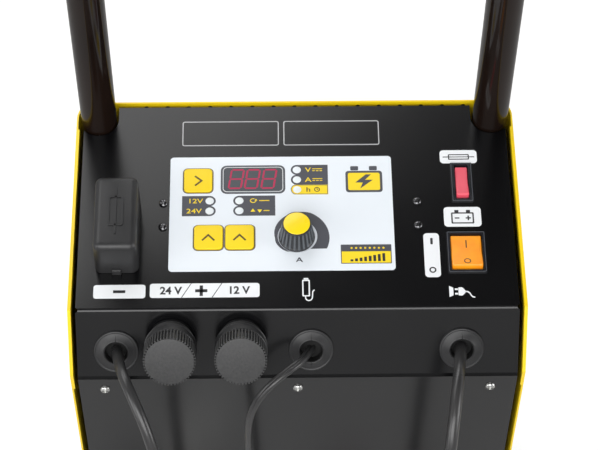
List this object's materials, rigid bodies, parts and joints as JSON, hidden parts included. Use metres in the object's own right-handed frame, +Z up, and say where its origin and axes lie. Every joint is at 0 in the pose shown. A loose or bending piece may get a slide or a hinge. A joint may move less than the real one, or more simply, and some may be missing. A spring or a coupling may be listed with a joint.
{
  "type": "wheeled battery charger",
  "caption": "Wheeled battery charger and engine starter with a sloped connector face, display, keys, dial, screw terminals, tall tube handle and hanging leads.",
  "frame": {"origin": "on the floor, under the middle of the machine's length and width, leads left out", "axes": "+X to the right seen from the front, +Y to the rear, +Z up"},
  "size_m": [0.3824, 0.5389, 0.95],
  "materials": {
    "yellow_paint": "satin yellow powder paint on sheet steel",
    "black_gloss_paint": "gloss black paint on sheet steel",
    "black_satin_paint": "satin black paint",
    "black_tube_paint": "gloss black paint on steel tube",
    "zinc_steel": "zinc plated",
    "black_steel": "black oxide",
    "black_plastic": "moulded, slightly shiny",
    "tyre_rubber": "solid rubber",
    "soft_rubber": "moulded rubber",
    "cord_jacket": "flexible cord jacket",
    "white_overlay": "printed film",
    "dark_window": "tinted window over a housing",
    "yellow_plastic": "moulded",
    "white_lens": "clear white lamp lens",
    "circuit_board": "solder mask over fibre board",
    "aluminium_part": "extruded",
    "grey_plastic": "fine grain moulding",
    "brass_part": "turned or stamped",
    "switch_black": "glossy moulding",
    "orange_plastic": "tinted rocker",
    "pink_plastic": "tinted rocker",
    "core_steel": "stacked steel sheets",
    "copper_wire": "enamelled copper wire",
    "jaw_paint": "black coated steel",
    "red_plastic": "moulded button"
  },
  "bodies": {
    "machine": {"axle_caps": "zinc_steel", "base_tray": "black_satin_paint", "breaker_body": "switch_black", "clamp_jaw_fixed": "jaw_paint", "clamp_pin": "zinc_steel", "clamp_spring": "zinc_steel", "control_board": "circuit_board", "display_module": "dark_window", "foot_bracket": "black_satin_paint", "front_feet": "soft_rubber", "front_panel": "black_gloss_paint", "front_screws": "zinc_steel", "fuse_base": "grey_plastic", "fuse_strip": "brass_part", "fuse_studs": "brass_part", "grommet_mains": "soft_rubber", "grommet_negative": "soft_rubber", "grommet_remote": "soft_rubber", "handle_frame": "black_tube_paint", "indicator_leds": "white_lens", "mains_cable": "cord_jacket", "mains_coil": "cord_jacket", "mains_plug": "black_plastic", "mains_switch": "switch_black", "negative_cable": "cord_jacket", "negative_coil": "cord_jacket", "overlay_panel": "white_overlay", "panel_screws": "black_steel", "rear_cover": "yellow_paint", "rectifier": "aluminium_part", "remote_body": "black_plastic", "remote_cable": "cord_jacket", "remote_coil": "cord_jacket", "terminal_base_12v": "black_plastic", "terminal_base_24v": "black_plastic", "terminal_stud_12v": "brass_part", "terminal_stud_24v": "brass_part", "top_panel": "black_gloss_paint", "transformer_core": "core_steel", "transformer_windings": "copper_wire", "wheel_axle": "zinc_steel"},
    "dial": {"dial_knob": "black_plastic", "dial_cap": "yellow_plastic", "dial_shaft": "aluminium_part"},
    "switch_rocker": {"mains_rocker": "orange_plastic"},
    "reset_rocker": {"breaker_rocker": "pink_plastic"},
    "select_key": {"key_select": "yellow_plastic"},
    "left_key": {"key_left": "yellow_plastic"},
    "right_key": {"key_right": "yellow_plastic"},
    "fuse_lid": {"fuse_cover": "grey_plastic"},
    "washer_high": {"terminal_washer_24v": "zinc_steel"},
    "knob_high": {"terminal_knob_24v": "black_plastic"},
    "washer_low": {"terminal_washer_12v": "zinc_steel"},
    "knob_low": {"terminal_knob_12v": "black_plastic"},
    "wheel_l": {"wheel_left": "black_plastic", "tyre_left": "tyre_rubber"},
    "wheel_r": {"wheel_right": "black_plastic", "tyre_right": "tyre_rubber"},
    "clamp_jaw": {"clamp_jaw_moving": "jaw_paint"},
    "hand_button": {"remote_button": "red_plastic"}
  },
  "joints": [
    {"name": "dial_turn", "type": "hinge", "parent": "machine", "child": "dial", "pos_m": [0, 0.06158, 0.6], "axis": [0, 0, 1], "range_deg": [-150, 150]},
    {"name": "switch_tip", "type": "hinge", "parent": "machine", "child": "switch_rocker", "pos_m": [0.1152, 0.04878, 0.6016], "axis": [1, 0, 0], "range_deg": [0, 16]},
    {"name": "reset_tip", "type": "hinge", "parent": "machine", "child": "reset_rocker", "pos_m": [0.115, 0.10648, 0.6016], "axis": [1, 0, 0], "range_deg": [0, 16]},
    {"name": "select_press", "type": "slide", "parent": "machine", "child": "select_key", "axis": [0, 0, -1], "range_m": [0, 0.0008], "stiffness_N_per_m": 1500},
    {"name": "left_press", "type": "slide", "parent": "machine", "child": "left_key", "axis": [0, 0, -1], "range_m": [0, 0.0008], "stiffness_N_per_m": 1500},
    {"name": "right_press", "type": "slide", "parent": "machine", "child": "right_key", "axis": [0, 0, -1], "range_m": [0, 0.0008], "stiffness_N_per_m": 1500},
    {"name": "fuse_lid_lift", "type": "slide", "parent": "machine", "child": "fuse_lid", "axis": [0, 0, 1], "range_m": [0, 0.04]},
    {"name": "washer_high_slide", "type": "slide", "parent": "machine", "child": "washer_high", "axis": [0, -0.8192, 0.5736], "range_m": [0, 0.0045]},
    {"name": "knob_high_turn", "type": "hinge", "parent": "washer_high", "child": "knob_high", "pos_m": [-0.085, -0.01239, 0.58362], "axis": [0, -0.8192, 0.5736], "range_deg": [0, 1080]},
    {"name": "washer_low_slide", "type": "slide", "parent": "machine", "child": "washer_low", "axis": [0, -0.8192, 0.5736], "range_m": [0, 0.0045]},
    {"name": "knob_low_turn", "type": "hinge", "parent": "washer_low", "child": "knob_low", "pos_m": [-0.038, -0.01239, 0.58362], "axis": [0, -0.8192, 0.5736], "range_deg": [0, 1080]},
    {"name": "wheel_l_spin", "type": "hinge", "parent": "machine", "child": "wheel_l", "pos_m": [-0.1695, 0.16268, 0.075], "axis": [1, 0, 0], "continuous": true},
    {"name": "wheel_r_spin", "type": "hinge", "parent": "machine", "child": "wheel_r", "pos_m": [0.1695, 0.16268, 0.075], "axis": [1, 0, 0], "continuous": true},
    {"name": "clamp_open", "type": "hinge", "parent": "machine", "child": "clamp_jaw", "pos_m": [-0.10124, -0.25743, 0.01185], "axis": [0, 0, -1], "range_deg": [0, 14], "stiffness_Nm_per_rad": 1.2, "springref_deg": -17.19},
    {"name": "hand_button_press", "type": "slide", "parent": "machine", "child": "hand_button", "axis": [0, 0, -1], "range_m": [0, 0.003], "stiffness_N_per_m": 400}
  ],
  "couplings": [
    {"joint": "knob_high_turn", "follows": "washer_high_slide", "rad_per_m": 4188.8},
    {"joint": "knob_low_turn", "follows": "washer_low_slide", "rad_per_m": 4188.8}
  ]
}
